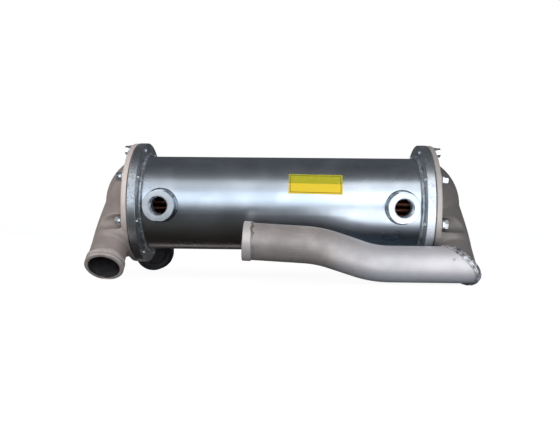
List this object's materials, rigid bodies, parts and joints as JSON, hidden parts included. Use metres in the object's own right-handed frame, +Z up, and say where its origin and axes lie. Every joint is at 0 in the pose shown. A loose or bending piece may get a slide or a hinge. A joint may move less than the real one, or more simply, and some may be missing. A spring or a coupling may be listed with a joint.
{
  "type": "shell and tube oil cooler",
  "caption": "Shell-and-tube oil cooler: plated cylinder with side oil ports, bolted cast domed end covers with hose stubs, and a bent return pipe along the front.",
  "frame": {"origin": "on the shell's centre line, midway between the two ring flanges", "axes": "+X along the shell towards the return pipe's welded elbow, -Y the way the oil ports face, +Z up as it rests"},
  "size_m": [0.5874, 0.2677, 0.2174],
  "materials": {
    "zinc_plate": "zinc-plated steel, semi-gloss with handling marks",
    "zinc_bright": "bright zinc-plated fasteners and bosses",
    "steel_weld": "plated steel weld bead",
    "cast_aluminium": "sand cast, bead blasted",
    "pipe_aluminium": "drawn tube, matte",
    "weld_aluminium": "rippled weld bead",
    "copper": "dull drawn copper",
    "brass_sheet": "rolled brass, dull",
    "gasket_sheet": "dark fibre gasket",
    "black_rubber": "moulded black rubber",
    "black_paint": "black painted steel",
    "label_face": "matt label in two plain fields of yellow, no print"
  },
  "bodies": {
    "root": {"shell": "zinc_plate", "left_flange": "zinc_plate", "right_flange": "zinc_plate", "left_flange_weld": "steel_weld", "right_flange_weld": "steel_weld", "left_port_boss": "zinc_bright", "right_port_boss": "zinc_bright", "left_port_weld": "steel_weld", "right_port_weld": "steel_weld", "left_tube_sheet": "brass_sheet", "right_tube_sheet": "brass_sheet", "copper_tubes": "copper", "baffle_1": "brass_sheet", "baffle_2": "brass_sheet", "baffle_3": "brass_sheet", "baffle_4": "brass_sheet", "baffle_5": "brass_sheet", "tie_rods": "zinc_bright", "tie_rod_spacers": "brass_sheet", "tie_rod_nuts": "zinc_bright", "left_gasket": "gasket_sheet", "right_gasket": "gasket_sheet", "left_end_cover": "cast_aluminium", "right_end_cover": "cast_aluminium", "left_cover_screws": "zinc_bright", "right_cover_screws": "zinc_bright", "left_cover_stud": "zinc_bright", "right_cover_stud": "zinc_bright", "left_flat_washers": "zinc_bright", "right_flat_washers": "zinc_bright", "left_spring_washers": "zinc_bright", "right_spring_washers": "zinc_bright", "return_pipe": "pipe_aluminium", "return_pipe_weld": "weld_aluminium", "label": "label_face", "rear_foot_bracket": "black_paint", "rear_foot_bracket_weld": "black_paint", "rear_foot_buffer": "black_rubber", "rear_foot_stud": "zinc_bright", "rear_foot_washer": "zinc_bright", "rear_foot_nut": "zinc_bright"}
  },
  "joints": []
}
